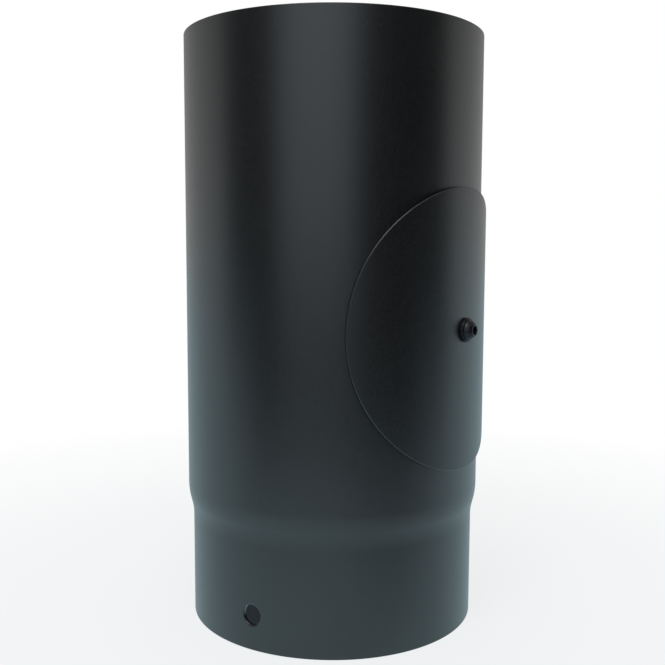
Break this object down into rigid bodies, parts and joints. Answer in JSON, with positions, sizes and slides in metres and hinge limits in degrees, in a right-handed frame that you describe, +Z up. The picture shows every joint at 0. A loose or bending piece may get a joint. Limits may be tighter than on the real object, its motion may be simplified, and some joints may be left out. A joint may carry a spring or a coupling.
{
  "type": "stove pipe with inspection door",
  "caption": "Round steel stove pipe with a swaged spigot and a curved inspection door, clamped by one screw and an inner bar.",
  "frame": {"origin": "on the pipe's axis, at the spigot's lower rim", "axes": "+Z up the pipe to the socket, -Y out through the middle of the door, +X to the right for someone facing the door"},
  "size_m": [0.154, 0.1616, 0.3],
  "materials": {
    "stove_paint": "matte",
    "door_paint": "matte",
    "gasket_fibre": "matte",
    "black_steel": "satin",
    "plain_steel": "satin"
  },
  "bodies": {
    "pipe": {"pipe_body": "stove_paint", "door_cover": "door_paint", "door_gasket": "gasket_fibre", "screw_washer": "black_steel"},
    "screw": {"door_screw": "black_steel"},
    "bar": {"clamp_bar": "plain_steel", "clamp_nut": "plain_steel"}
  },
  "joints": [
    {"name": "screw_turn", "type": "hinge", "parent": "pipe", "child": "screw", "pos_m": [0, -0.0813, 0.154], "axis": [0, -1, 0], "range_deg": [0, 4410]},
    {"name": "bar_travel", "type": "slide", "parent": "pipe", "child": "bar", "axis": [0, 1, 0], "range_m": [0, 0.01225]}
  ],
  "couplings": [
    {"joint": "screw_turn", "follows": "bar_travel", "rad_per_m": 6283.2}
  ]
}
